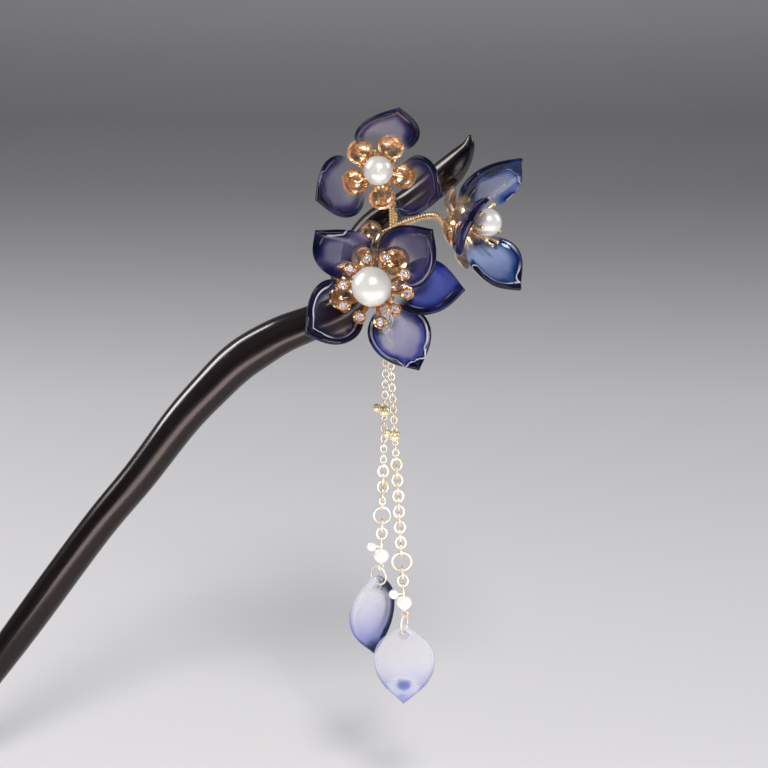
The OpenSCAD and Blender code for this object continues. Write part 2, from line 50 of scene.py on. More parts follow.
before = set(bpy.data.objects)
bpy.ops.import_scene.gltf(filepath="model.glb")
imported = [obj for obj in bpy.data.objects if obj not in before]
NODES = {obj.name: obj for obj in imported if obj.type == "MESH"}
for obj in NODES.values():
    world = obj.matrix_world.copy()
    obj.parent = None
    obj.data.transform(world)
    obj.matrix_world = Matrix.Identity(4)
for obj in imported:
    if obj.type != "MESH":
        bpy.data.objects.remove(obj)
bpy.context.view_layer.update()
MM = 0.001

# Sections of the stick from the pin's point to the tip of the leaf head, in millimetres
# Columns: x, z, width in the plane of the curve, depth, section power
STICK_ROWS = [
    (-42.6, -58.6, 1.5, 1.5, 2.0),
    (-41.7, -57.3, 2.8, 2.8, 2.0),
    (-38.5, -52.9, 4.2, 4.2, 2.0),
    (-29.0, -39.9, 5.9, 5.7, 2.0),
    (-15.9, -21.9, 7.1, 6.7, 2.0),
    (0.0, 0.0, 7.1, 6.8, 2.0),
    (10.0, 12.4, 7.3, 6.9, 2.0),
    (19.2, 24.7, 7.7, 7.1, 2.0),
    (26.2, 32.5, 8.2, 7.3, 2.0),
    (30.6, 36.9, 8.5, 7.4, 2.0),
    (34.6, 39.9, 8.5, 7.4, 2.0),
    (40.3, 43.3, 7.9, 7.3, 2.0),
    (46.3, 45.8, 7.3, 7.1, 2.0),
    (51.2, 47.7, 7.1, 7.0, 2.0),
    (54.8, 50.3, 7.3, 7.0, 2.0),
    (56.5, 53.9, 7.7, 7.0, 2.0),
    (56.5, 58.0, 7.9, 6.9, 2.0),
    (57.0, 62.0, 7.5, 6.7, 2.0),
    (58.8, 65.6, 6.5, 6.3, 1.9),
    (61.6, 68.5, 5.6, 5.9, 1.75),
    (65.8, 71.0, 5.6, 5.7, 1.55),
    (70.4, 74.1, 6.2, 5.4, 1.4),
    (74.2, 77.2, 6.4, 5.0, 1.35),
    (76.9, 80.4, 5.0, 4.2, 1.35),
    (78.4, 83.0, 2.8, 2.8, 1.4),
    (78.8, 85.2, 0.7, 0.8, 1.6),
]

# Routes of the wound stems, in millimetres
ROUTE_B = [
    (58.4, -1.05, 62.05), (59.8, -1.9, 62.65), (61.2, -2.75, 63.25), (62.7, -4.2, 64.3),
    (63.3, -5.8, 66.0), (63.4, -6.2, 68.4), (63.3, -5.5, 71.4), (62.5, -4.6, 74.5),
    (61.3, -4.2, 77.0), (60.4, -6.18, 79.15), (60.4, -6.86, 79.31), (60.4, -8.32, 79.64),
]
ROUTE_C = [
    (60.4, -1.0, 65.6), (60.4, -2.2, 65.65), (60.5, -3.4, 65.7), (61.8, -4.15, 66.2),
    (64.0, -4.0, 67.3), (66.6, -4.1, 68.4), (69.2, -4.5, 69.4), (71.6, -5.1, 69.8),
    (73.1, -6.0, 69.0), (73.78, -6.94, 67.65), (74.41, -7.20, 67.81), (75.77, -7.74, 68.14),
]

# Tint of each petal; left and right are seen from the front, going from the base to the tip
# Columns: heart, body, clearness of the heart, strength of the pale line, which is a painted
# highlight, the side that painted highlight keeps to from -1 at the left to 1 at the right,
# width of the dark rim in millimetres on the left and on the right, share of the base left
# clear, how much the heart fades into the body towards the tip, partly the glass's own fade and
# partly a painted sheen near the base, gloss of the heart
PETAL_TINTS = {
    "petal_a1": (
        (0.20, 0.19, 0.40), (0.022, 0.018, 0.085), 0.62, 1.0, 0.8, 0.8, 1.0, 0.44, 0.6, 1.0,
    ),
    "petal_a2": (
        (0.07, 0.055, 0.13), (0.022, 0.015, 0.08), 0.52, 0.4, 0.7, 1.1, 0.7, 0.48, 1.0, 1.0,
    ),
    "petal_a3": (
        (0.075, 0.10, 0.42), (0.02, 0.03, 0.20), 0.20, 0.9, 1.0, 0.4, 1.3, 0.26, 0.8, 1.0,
    ),
    "petal_a4": (
        (0.40, 0.39, 0.60), (0.05, 0.06, 0.28), 0.60, 1.0, -0.3, 0.7, 0.7, 0.10, 1.2, 1.0,
    ),
    "petal_a5": (
        (0.02, 0.014, 0.03), (0.012, 0.010, 0.035), 0.90, 1.0, 0.0, 1.2, 1.2, 0.18, 1.0, 1.0,
    ),
    "petal_b1": (
        (0.42, 0.39, 0.52), (0.03, 0.023, 0.10), 0.80, 0.15, -0.6, 0.7, 1.5, 0.42, 1.4, 1.0,
    ),
    "petal_b2": (
        (0.15, 0.14, 0.27), (0.028, 0.02, 0.09), 0.72, 0.15, 0.0, 1.0, 0.8, 0.44, 1.2, 1.0,
    ),
    "petal_b3": (
        (0.03, 0.02, 0.04), (0.018, 0.013, 0.06), 0.58, 0.15, 0.0, 1.0, 0.9, 0.46, 1.0, 1.0,
    ),
    "petal_c1": (
        (0.31, 0.345, 0.49), (0.02, 0.05, 0.22), 0.62, 0.45, 0.8, 3.4, 0.6, 0.14, 0.8, 1.0,
    ),
    "petal_c2": (
        (0.33, 0.42, 0.70), (0.004, 0.035, 0.17), 0.34, 1.0, 0.0, 0.7, 0.7, 0.10, 2.2, 1.0,
    ),
    "petal_c3": (
        (0.08, 0.09, 0.30), (0.022, 0.022, 0.12), 0.04, 0.2, 0.0, 0.7, 0.5, -0.2, 1.0, 0.2,
    ),
}
# Soft steps across a petal, inwards from the end of its dark rim, in millimetres
FILM_END = (0.2, 2.0)
RIM_END = (-0.1, 0.1)
# Where the pale line, a painted highlight, begins and ends inside the rim
HIGHLIGHT_OUTER = (0.02, 0.10)
HIGHLIGHT_INNER = (0.22, 0.38)
POLISH_END = (0.3, 0.9)
ROLL_END = (0.45, 0.9)
HEART_START = (0.7, 2.6)
# Soft steps along a petal, from 0 at its base to 1 at its tip
FILM_START = (0.12, 0.36)
TIP_START = (0.70, 1.0)
# Where the painted highlight stops towards the tip
HIGHLIGHT_STOP = (0.78, 0.90)
# How far before and after the clear base the heart begins, as shares of a petal's length
ROOT_BEFORE = 0.12
ROOT_AFTER = 0.10
# How much the end of the dark rim wavers, in millimetres
RIM_WAVE = 0.25
# How much of a petal's left or right side one millimetre off its middle line makes
SIDE_PER_MM = 0.4
# Drops, with how dark their shaded edge is
DROPS = {"drop_left": 1.0, "drop_right": 0.0}
# Soft steps inwards from a drop's edge and across from its middle line, in millimetres
DROP_EDGE = (0.2, 1.4)
DROP_FLANK = (1.4, 3.2)
DROP_SIDE = (0.0, 2.0)
# Soft steps along a drop, from 0 at its top to 1 at its tip
SHADE_START = (0.02, 0.10)
DARK_TIP = (0.70, 0.92)
# Blue spot near the tip of a drop, a painted refraction: its place along it, and how fast it
# ends along and across
SPOT_PLACE = 0.76
SPOT_ALONG = 11.0
SPOT_ACROSS = 0.42
# Soft steps outwards from the middle of that spot, where 1 is its edge, for the spot and for
# the pale ring round it, which is a painted highlight
SPOT_END = (0.3, 0.9)
GLINT_RING_START = (0.55, 0.9)
GLINT_RING_END = (1.1, 1.7)

# Soft steps of the polished bend along the stick, in metres from the pin's point, and round
# it, where 1 is the upper edge and 0 the middle of the front
BEND_START = (0.080, 0.105)
BEND_END = (0.130, 0.145)
UPPER_SIDE = (0.15, 0.55)
# Length over which the polish of the leaf head begins, in metres
LEAF_SOFT = 0.008
# Share of the stick's length that the wood's noise sees: its streaks are drawn out 20 times
GRAIN_SHARE = 0.05
# Shares of the wood's colour in its dark and light streaks
WOOD_TONES = ((0.4, 0.4, 0.4), (4.2, 3.4, 3.2))
# Shares of a gold's colour where it is dull and where it is bright
GOLD_TONES = ((0.78, 0.66, 0.52), (1.08, 1.12, 1.2))
# Columns: roughness, strength of the dents, how metallic
COIL_GOLD = (0.16, 0.0, 1.0)
CUP_GOLD = (0.13, 0.6, 0.94)
CHAIN_GOLD = (0.28, 0.2, 0.5)
BALL_GOLD = (0.26, 0.0, 0.6)
# Columns: colour, then the same as above
STAMENS = {
    "stamens_a": ((0.92, 0.46, 0.12), 0.18, 1.0, 1.0),
    "stamens_b": ((0.95, 0.56, 0.22), 0.22, 1.0, 1.0),
    "stamens_c": ((0.98, 0.76, 0.44), 0.26, 1.0, 1.0),
}
# Shares of a pearl's colour in its rose and green clouds
PEARL_TONES = ((1.0, 0.95, 0.95), (0.94, 0.99, 0.98))
PEARL_COLOUR = (0.76, 0.757, 0.72)
BEAD_COLOUR = (0.96, 0.96, 0.94)
# Cut stones: colours of their dark and light facets, which are painted shade and painted
# glints, and facets in a metre
STONE_GLINT_TONES = ((0.62, 0.30, 0.26), (1.0, 0.92, 0.94))
STONE_FACETS = 2200.0

# Noises of the finishes
# Columns: size of a patch in millimetres, detail, roughness, distortion
NOISES = {
    "streaks": (1.2, 4.0, 0.62, 0.4),
    "fine_grain": (0.35, 2.0, 0.6, 0.2),
    "wood_patches": (12.0, 2.0, 0.5, 0.0),
    "petal_cloud": (6.5, 2.0, 0.45, 0.6),
    "wisps": (2.6, 2.0, 0.5, 1.2),
    "wavy_rim": (4.0, 1.0, 0.4, 0.0),
    # Gaps in the painted highlight along the rim
    "highlight_breaks": (7.0, 1.0, 0.5, 0.0),
    "drop_cloud": (7.0, 2.0, 0.45, 0.5),
    "wear": (2.1, 3.0, 0.55, 0.0),
    "dents": (0.9, 1.0, 0.4, 0.0),
    "nacre": (3.8, 2.0, 0.5, 0.8),
    "fine_nacre": (1.2, 2.0, 0.5, 0.0),
    # Patches of painted glints and painted shade on the stones
    "facet_glints": (0.6, 1.0, 0.5, 0.0),
}

# Sockets of a Mix node that mixes colours: its share and two colours, and its result
MIX_INPUTS = (0, 6, 7)
MIX_OUTPUT = 2

# Distance in metres at which points merge, and the angles within which two triangles pair
MERGE_DISTANCE = 1e-6
PAIR_FACES = math.radians(70)
PAIR_SHAPES = math.radians(120)
SMOOTH_LEVELS = 2
# Steps along edges from the middle of a petal's face that its outline lies beyond
OUTLINE_STEPS = 5
# Wound stems: steps of the route between two points, steps of a turn, sides of the wire
ROUTE_STEPS = 8
TURN_STEPS = 12
WIRE_SIDES = 6
# Wound stems: how far aside of Y their way has to point for Y to guide the wire, and a length
# in metres that is as good as none
LEAST_ASIDE = 0.2
SLIVER = 1e-7

# Camera: the place it looks at and the width of its sensor in millimetres, and its nearest and
# farthest distance in metres
TARGET = (61.516, 0.0, 32.68)
SENSOR = 36.0
NEAREST = 0.01
FARTHEST = 20.0
# Floor, in metres: half its width, its middle, and at its far side the steps of the bend, the
# length of one and the height of the wall
FLOOR_HALF = 1.0
FLOOR_MIDDLE = (0.06, 0.0, -0.062)
WALL_BENDS = 10
WALL_STEP = 0.07
WALL_HEIGHT = 1.6
# Painted light and shade of the floor and wall, whose tones change with depth; they begin at
# this depth and run over this length, in metres
FLOOR_START = -0.16
FLOOR_DEPTH = 1.36
# Columns: share of that length, share of the floor's colour
FLOOR_LIGHT_AND_SHADE = (
    (0.0, 0.50), (0.08, 0.85), (0.13, 0.80), (0.20, 0.80), (0.32, 0.76), (0.47, 0.53),
    (0.56, 0.45), (0.69, 0.47), (0.94, 0.9),
)
# Place that the lights face, in metres
LIT_PLACE = (0.06, 0.0, 0.06)
# Columns: name, place, width and height in metres, power in watts, colour
LIGHTS = (
    ("key", (0.143, -0.392, 0.506), (0.15, 0.15), 2.6, (1.0, 0.98, 0.95)),
    ("left_window", (-0.49, 0.10, 0.32), (0.20, 0.30), 1.9, (0.98, 0.98, 1.0)),
    ("leaf_window", (-0.352, 0.118, 0.483), (0.15, 0.15), 0.7, (1.0, 0.99, 0.97)),
    ("low_front", (0.08, -0.14, -0.045), (0.36, 0.05), 0.36, (1.0, 0.97, 0.94)),
    ("right", (0.6, 0.1, 0.3), (0.2, 0.4), 1.0, (0.92, 0.95, 1.0)),
)

# Nodes that share a finish
PEARLS = ("pearl_a", "pearl_b", "pearl_c")
BALLS = ("ball_left", "ball_right")
BEADS = ("large_bead_left", "small_bead_left", "large_bead_right", "small_bead_right")
CUPS = ("calyx_a", "calyx_b", "calyx_c")
CHAINS = tuple(
    name + side
    for side in ("_left", "_right")
    for name in (
        "fine_chain", "lower_chain", "large_chain", "end_ring", "end_link",
        "bead_pin", "drop_ring",
    )
) + ("chain_ring",)


# Settings


class WoodSettings(bpy.types.PropertyGroup):
    """Sizes and colour of the carved stick."""

    colour: FloatVectorProperty(
        name="Wood", description="Colour of the polished wood", subtype="COLOR",
        default=(0.0018, 0.0011, 0.0011), min=0.0, max=1.0,
    )
    ridge: FloatProperty(
        name="Ridge", description="How far the front ridge of the head lies off its middle",
        default=0.7, min=0.0, max=1.0,
    )
    leaf_start: FloatProperty(
        name="Leaf start", description="Length of the stem below the leaf head",
        default=0.166, unit="LENGTH",
    )
    sides: IntProperty(
        name="Sides", description="Points round a section of the stick", default=64, min=16,
    )
    steps: IntProperty(
        name="Steps", description="Rings between two sections", default=6, min=2,
    )


class GlassSettings(bpy.types.PropertyGroup):
    """Colours of the petals and drops."""

    edge: FloatVectorProperty(
        name="Edge", description="Colour of the outermost edge of the glass", subtype="COLOR",
        default=(0.003, 0.0035, 0.018), min=0.0, max=1.0,
    )
    rim: FloatVectorProperty(
        name="Rim", description="Colour of the rolled rim", subtype="COLOR",
        default=(0.005, 0.008, 0.06), min=0.0, max=1.0,
    )
    tip: FloatProperty(
        name="Dark tip", description="Extra width of the dark rim at a petal's tip, in mm",
        default=0.9, min=0.0,
    )
    # Colour of the painted highlight inside the rim
    line: FloatVectorProperty(
        name="Line", description="Colour of the pale line inside the rim", subtype="COLOR",
        default=(0.72, 0.72, 0.80), min=0.0, max=1.0,
    )
    drop_heart: FloatVectorProperty(
        name="Drop", description="Colour of the clear part of a drop", subtype="COLOR",
        default=(0.68, 0.68, 0.76), min=0.0, max=1.0,
    )
    drop_tip: FloatVectorProperty(
        name="Drop tip", description="Colour of the tip of a drop", subtype="COLOR",
        default=(0.15, 0.18, 0.48), min=0.0, max=1.0,
    )
    drop_edge: FloatVectorProperty(
        name="Drop edge", description="Colour of the edge of a drop", subtype="COLOR",
        default=(0.08, 0.11, 0.34), min=0.0, max=1.0,
    )
    # Painted refraction near the tip of a drop
    drop_refraction_spot: FloatVectorProperty(
        name="Drop spot", description="Colour of the spot near the tip of a drop",
        subtype="COLOR", default=(0.11, 0.13, 0.36), min=0.0, max=1.0,
    )
    # Painted highlight in a ring round that spot
    drop_glint_ring: FloatVectorProperty(
        name="Drop halo", description="Colour of the pale ring round the spot", subtype="COLOR",
        default=(0.70, 0.71, 0.84), min=0.0, max=1.0,
    )
    drop_shade: FloatVectorProperty(
        name="Drop shade", description="Colour of the shaded edge of a drop", subtype="COLOR",
        default=(0.006, 0.016, 0.05), min=0.0, max=1.0,
    )


class GoldSettings(bpy.types.PropertyGroup):
    """Colours of the gold and sizes of the wound stems."""

    plate: FloatVectorProperty(
        name="Gold", description="Colour of the cups", subtype="COLOR",
        default=(0.98, 0.71, 0.49), min=0.0, max=1.0,
    )
    chain: FloatVectorProperty(
        name="Chains", description="Colour of the chains", subtype="COLOR",
        default=(1.0, 0.90, 0.76), min=0.0, max=1.0,
    )
    ball: FloatVectorProperty(
        name="Balls", description="Colour of the soldered balls", subtype="COLOR",
        default=(1.0, 0.84, 0.58), min=0.0, max=1.0,
    )
    coil: FloatVectorProperty(
        name="Coils", description="Colour of the wound stems", subtype="COLOR",
        default=(0.94, 0.70, 0.40), min=0.0, max=1.0,
    )
    coil_wire: FloatProperty(
        name="Coil wire", description="Wire of the wound stems", default=0.36 * MM,
        unit="LENGTH", min=0.0001,
    )
    coil_pitch: FloatProperty(
        name="Coil pitch", description="Distance between two turns of a stem",
        default=0.56 * MM, unit="LENGTH", min=0.0002,
    )
    stem_b: FloatProperty(
        name="Top stem", description="Outer diameter of the top flower's stem",
        default=1.9 * MM, unit="LENGTH", min=0.001,
    )
    stem_c: FloatProperty(
        name="Right stem", description="Outer diameter of the right flower's stem",
        default=1.6 * MM, unit="LENGTH", min=0.001,
    )


class StageSettings(bpy.types.PropertyGroup):
    """Camera, floor and sky."""

    lens: FloatProperty(
        name="Lens", description="Focal length in millimetres",
        default=100.0, min=20.0,
    )
    distance: FloatProperty(
        name="Distance", description="Camera to the object", default=0.444, unit="LENGTH",
    )
    tilt: FloatProperty(
        name="Tilt", description="How far the camera looks down",
        default=math.radians(18.0), unit="ROTATION",
    )
    floor: FloatVectorProperty(
        name="Floor", description="Colour of the floor", subtype="COLOR",
        default=(0.85, 0.835, 0.845), min=0.0, max=1.0,
    )
    sky: FloatVectorProperty(
        name="Sky", description="Colour of the light from all sides", subtype="COLOR",
        default=(0.86, 0.89, 1.0), min=0.0, max=1.0,
    )
    sky_strength: FloatProperty(
        name="Sky strength", description="Strength of the light from all sides",
        default=0.16, min=0.0,
    )


# Shader maths


class Val:
    """A number on a socket of a finish; sums with it add their Math nodes."""

    def __init__(self, made, socket):
        self.made = made
        self.socket = socket

    def sum_with(self, operation, first, second):
        """The number that a sum of two values gives."""
        node = self.made.node("ShaderNodeMath", {"operation": operation}, {0: first, 1: second})
        return Val(self.made, node.outputs[0])

    def __add__(self, other):
        return self.sum_with("ADD", self, other)

    __radd__ = __add__

    def __sub__(self, other):
        return self.sum_with("SUBTRACT", self, other)

    def __rsub__(self, other):
        return self.sum_with("SUBTRACT", other, self)

    def __mul__(self, other):
        return self.sum_with("MULTIPLY", self, other)

    __rmul__ = __mul__

    def __truediv__(self, other):
        return self.sum_with("DIVIDE", self, other)

    def __pow__(self, other):
        return self.sum_with("POWER", self, other)

    def clamped(self):
        """This number kept between 0 and 1."""
        return self.sum_with("MINIMUM", self.sum_with("MAXIMUM", self, 0.0), 1.0)

    def limited(self):
        """This number kept between -1 and 1."""
        return self.sum_with("MINIMUM", self.sum_with("MAXIMUM", self, -1.0), 1.0)

    def step(self, start, end):
        """0 at start and 1 at end, with a smooth way between them."""
        share = ((self - start) / (end - start)).clamped()
        return share * share * (3.0 - 2.0 * share)


class Finish:
    """A material under way: every node goes in through node(), numbers come out as Val."""

    def __init__(self, name):
        self.material = bpy.data.materials.new(name)
        self.material.use_nodes = True
        self.tree = self.material.node_tree
        self.tree.nodes.clear()

    def node(self, kind, settings=None, values=None):
        """A node with its settings, then its sockets' links, numbers and colours."""
        node = self.tree.nodes.new(kind)
        for name, value in (settings or {}).items():
            if name == "stops":
                elements = node.color_ramp.elements
                while len(elements) < len(value):
                    elements.new(0.5)
                for element, (place, colour) in zip(elements, value):
                    element.position = place
                    element.color = (*colour, 1.0)
            else:
                setattr(node, name, value)
        for name, value in (values or {}).items():
            socket = node.inputs[name]
            if isinstance(value, Val):
                value = value.socket
            if isinstance(value, bpy.types.NodeSocket):
                self.tree.links.new(value, socket)
            elif isinstance(value, (int, float)):
                socket.default_value = value
            else:
                socket.default_value = (*value, 1.0)[:4]
        return node

    def number(self, socket):
        """A socket as a number that can be reckoned with."""
        return Val(self, socket)

    def place(self):
        """Object coordinates, in metres."""
        return self.node("ShaderNodeTexCoord").outputs["Object"]

    def attribute(self, name):
        """A number that the mesh carries."""
        return self.number(
            self.node("ShaderNodeAttribute", {"attribute_name": name}).outputs["Fac"]
        )

    def noise(self, name, place=None):
        """One of the noises above, as a number from 0 to 1."""
        size, detail, roughness, distortion = NOISES[name]
        values = {
            "Vector": place or self.place(), "Scale": 1.0 / (size * MM), "Detail": detail,
            "Roughness": roughness, "Distortion": distortion,
        }
        return self.number(self.node("ShaderNodeTexNoise", None, values).outputs["Fac"])

    def mix(self, share, first, second):
        """Colour between two colours."""
        values = dict(zip(MIX_INPUTS, (share, first, second)))
        return self.node("ShaderNodeMix", {"data_type": "RGBA"}, values).outputs[MIX_OUTPUT]

    def ramp(self, share, stops):
        """Colour from a row of places and colours."""
        return self.node(
            "ShaderNodeValToRGB", {"stops": stops}, {"Fac": share}
        ).outputs["Color"]

    def bump(self, height, distance, strength):
        """A normal bumped by a height from 0 to 1, over a distance in millimetres."""
        values = {"Height": height, "Distance": distance * MM, "Strength": strength}
        return self.node("ShaderNodeBump", None, values).outputs["Normal"]

    def surface(self, values):
        """The finished material, from the values of a Principled shader."""
        shader = self.node("ShaderNodeBsdfPrincipled", None, values)
        self.node("ShaderNodeOutputMaterial", None, {"Surface": shader.outputs["BSDF"]})
        return self.material


# Finishes


def tones(colour, shares):
    """Tones of a colour, each from its shares of red, green and blue."""
    return [tuple(min(c * k, 1.0) for c, k in zip(colour, share)) for share in shares]


def wood_finish(settings):
    """Dark wood with fine streaks along it, polished on the leaf head and over the bend."""
    made = Finish("polished_wood")
    length = made.attribute("along")
    grain_place = made.node(
        "ShaderNodeCombineXYZ", None,
        {"X": length * GRAIN_SHARE, "Y": made.attribute("round"), "Z": 0.0},
    ).outputs["Vector"]
    streaks = made.noise("streaks", grain_place)
    fine = made.noise("fine_grain", grain_place)
    patches = made.noise("wood_patches")
    tone = made.mix(
        (streaks * 0.9 + patches * 0.4 - 0.15).clamped(), *tones(settings.colour, WOOD_TONES)
    )
    pores = streaks.step(0.60, 0.72)
    leaf = length.step(settings.leaf_start, settings.leaf_start + LEAF_SOFT)
    bend = length.step(*BEND_START) * (1.0 - length.step(*BEND_END))
    bend = bend * made.attribute("upper").step(*UPPER_SIDE)
    return made.surface({
        "Base Color": tone,
        "Roughness": (0.13 + 0.17 * streaks + 0.10 * pores).clamped(),
        "Specular IOR Level": 0.38,
        "Specular Tint": (1.0, 0.84, 0.81, 1.0),
        "Coat Weight": (0.04 + 0.56 * leaf + 0.86 * bend).clamped(),
        "Coat Roughness": 0.10,
        "Normal": made.bump(streaks + 0.4 * fine - 0.5 * pores, 0.07, 0.8),
    })


def petal_finish(name, tint, glass):
    """Lampwork glass: a dark rolled rim, a pale line inside it that is a painted highlight, and
    a clear heart.
    """
    heart, body, clearness, line, highlight_side, left, right, clear_base, fade_and_sheen, gloss = tint
    made = Finish(name + "_glass")
    rim = made.attribute("rim")
    along = made.attribute("along")
    side = (made.attribute("side") * SIDE_PER_MM).limited()
    cloud = made.noise("petal_cloud")
    wisp = made.noise("wisps")
    waver = made.noise("wavy_rim")
    root = along.step(clear_base - ROOT_BEFORE, clear_base + ROOT_AFTER)
    wide = (left + right) / 2 + (right - left) / 2 * side + glass.tip * along.step(*TIP_START)
    inside = rim + (waver - 0.5) * RIM_WAVE - wide
    inner = inside.step(*HEART_START)
    # The heart is paler towards the base: partly the glass's own fade, partly a painted sheen
    centre = (inner * (1.0 + fade_and_sheen * (0.35 - along)) + cloud - 0.5).clamped()
    colour = made.mix(centre, body, heart)
    rolled = made.mix(cloud.step(0.45, 0.75) * 0.7, glass.rim, body)
    colour = made.mix(inside.step(*ROLL_END), rolled, colour)
    patches = made.mix(cloud.step(0.46, 0.62) * 0.3, glass.edge, body)
    colour = made.mix(inside.step(*RIM_END), patches, colour)
    # Painted highlight: a pale line inside the rim, broken by noise and kept to one side
    painted_highlight = inside.step(*HIGHLIGHT_OUTER) * (1.0 - inside.step(*HIGHLIGHT_INNER))
    highlight_pieces = made.noise("highlight_breaks").step(0.36, 0.50)
    highlight_reach = (1.0 + highlight_side * 2.0 * side).clamped()
    if left != right:
        highlight_reach = highlight_reach * (1.0 - along.step(*HIGHLIGHT_STOP))
    colour = made.mix(painted_highlight * highlight_pieces * highlight_reach * line * 0.8, colour, glass.line)
    clear = inner * clearness * (1.10 - 0.55 * along) + (cloud - 0.5) * 0.2 * inner
    thick = 1.0 - rim.step(wide + FILM_END[0], wide + FILM_END[1])
    film = 0.05 + 0.75 * thick * along.step(*FILM_START)
    return made.surface({
        "Base Color": made.mix((root + 1.0 - inner).clamped(), heart, colour),
        "Roughness": (0.05 + 0.06 * wisp).clamped(),
        "IOR": 1.5,
        "Specular IOR Level": 0.06,
        "Coat Weight": (0.30 + (0.43 * gloss - 0.30) * inside.step(*POLISH_END)).clamped(),
        "Coat Roughness": 0.03,
        "Alpha": ((0.97 - clear) * (film + (1.0 - film) * root)).clamped(),
        "Normal": made.bump(cloud, 0.3, 0.5),
    })


def drop_finish(name, shade, glass):
    """Pale clear glass that turns blue towards its tip.

    A shaded drop has painted shade on one edge and on its tip; the other has a painted
    refraction near its tip, a blue spot in a pale ring.
    """
    made = Finish(name + "_glass")
    rim = made.attribute("rim")
    along = made.attribute("along")
    side = made.attribute("side")
    cloud = made.noise("drop_cloud")
    wavy = along + (cloud - 0.5) * 0.2
    blue = wavy.step(0.36 - 0.2 * shade, 1.0)
    edge = 1.0 - rim.step(*DROP_EDGE)
    flank = (1.0 - rim.step(*DROP_FLANK)) * side.step(*DROP_SIDE) * along.step(*SHADE_START)
    dark = ((flank + along.step(*DARK_TIP)) * shade).clamped()
    # Painted refraction near the tip, on the drop without painted shade: a blue spot in a pale
    # ring
    from_spot = (
        ((along - SPOT_PLACE) * SPOT_ALONG) ** 2 + (side * SPOT_ACROSS) ** 2
    ) ** 0.5
    halo = from_spot.step(*GLINT_RING_START) * (1.0 - from_spot.step(*GLINT_RING_END)) * (1.0 - shade)
    spot = (1.0 - from_spot.step(*SPOT_END)) * (1.0 - shade)
    colour = made.mix(blue, glass.drop_heart, glass.drop_tip)
    colour = made.mix((edge * (0.2 + 0.8 * blue)).clamped(), colour, glass.drop_edge)
    colour = made.mix(spot * 0.9, colour, glass.drop_refraction_spot)
    colour = made.mix(halo * 0.4, colour, glass.drop_glint_ring)
    colour = made.mix(dark, colour, glass.drop_shade)
    return made.surface({
        "Base Color": colour,
        "Roughness": (0.06 + 0.05 * cloud).clamped(),
        "IOR": 1.5,
        "Specular IOR Level": 0.08,
        "Coat Weight": 0.15,
        "Coat Roughness": 0.03,
        "Alpha": (
            0.16 + 0.1 * shade + (0.36 + 0.2 * shade) * blue + 0.40 * edge + dark + 0.45 * spot
        ).clamped(),
        "Normal": made.bump(cloud, 0.3, 0.5),
    })


def gold_finish(name, colour, roughness, dents, metal):
    """Plated metal with soft dents and a little tarnish in its colour."""
    made = Finish(name)
    wear = made.noise("wear")
    return made.surface({
        "Base Color": made.mix(wear.step(0.30, 0.75), *tones(colour, GOLD_TONES)),
        "Metallic": metal,
        "Roughness": (roughness + 0.14 * wear).clamped(),
        "Normal": made.bump(made.noise("dents"), 0.2, dents),
    })


def pearl_finish(name, colour):
    """Satin nacre with faint rose and green clouds."""
    made = Finish(name)
    clouds = made.noise("nacre")
    fine = made.noise("fine_nacre")
    rose, green = tones(colour, PEARL_TONES)
    tone = made.mix(clouds.step(0.35, 0.65), colour, rose)
    tone = made.mix((fine.step(0.45, 0.7) * 0.4).clamped(), tone, green)
    return made.surface({
        "Base Color": tone,
        "Metallic": 0.22,
        "Roughness": (0.28 + 0.08 * fine).clamped(),
        "Specular IOR Level": 0.7,
        "Coat Weight": 0.8,
        "Coat Roughness": 0.12,
        "Coat IOR": 1.6,
        "Normal": made.bump(clouds, 0.1, 0.3),
    })


def crystal_finish():
    """Bright cut stones with a rose tint, bumped facets, and painted glints and shade in small
    light and dark patches.
    """
    made = Finish("cut_stone")
    cells = made.node(
        "ShaderNodeTexVoronoi", {"feature": "F1"},
        {"Vector": made.place(), "Scale": STONE_FACETS, "Randomness": 1.0},
    )
    tilt = made.number(cells.outputs["Distance"])
    # Painted glints and shade: light and dark patches in the stones' colour
    facet_glints = made.noise("facet_glints")
    return made.surface({
        "Base Color": made.mix(facet_glints.step(0.34, 0.50), *STONE_GLINT_TONES),
        "Metallic": 0.4,
        "Roughness": (0.03 + 0.08 * facet_glints).clamped(),
        "IOR": 1.9,
        "Coat Weight": 1.0,
        "Coat Roughness": 0.02,
        "Normal": made.bump(tilt, 1.2, 1.0),
    })


def floor_finish(colour):
    """A matt floor with painted light and shade: its tone changes with its depth."""
    made = Finish("floor")
    split = made.node("ShaderNodeSeparateXYZ", None, {"Vector": made.place()})
    depth = (made.number(split.outputs["Y"]) - FLOOR_START) / FLOOR_DEPTH
    # Painted light and shade: the floor's colour scaled band by band along its depth
    stops = [(place, tuple(c * share for c in colour)) for place, share in FLOOR_LIGHT_AND_SHADE]
    return made.surface({"Base Color": made.ramp(depth, stops), "Roughness": 0.8})


# Modelling helpers


def smooth_rows(rows, steps):
    """Rows of numbers with the rows of a smooth curve through them in between."""
    last = len(rows) - 1
    out = []
    for i in range(last):
        a, b = rows[max(i - 1, 0)], rows[i]
        c, d = rows[i + 1], rows[min(i + 2, last)]
        for k in range(steps):
            t = k / steps
            out.append(tuple(
                0.5 * (
                    2 * q + (r - p) * t + (2 * p - 5 * q + 4 * r - s) * t * t
                    + (3 * q - p - 3 * r + s) * t ** 3
                )
                for p, q, r, s in zip(a, b, c, d)
            ))
    out.append(tuple(rows[-1]))
    return out


def add_object(name, data):
    """A new object in the scene."""
    added = bpy.data.objects.new(name, data)
    bpy.context.scene.collection.objects.link(added)
    return added


def add_mesh(name, shape, material):
    """A bmesh as a smooth object with one finish."""
    mesh = bpy.data.meshes.new(name)
    shape.to_mesh(mesh)
    shape.free()
    mesh.shade_smooth()
    mesh.materials.append(material)
    return add_object(name, mesh)


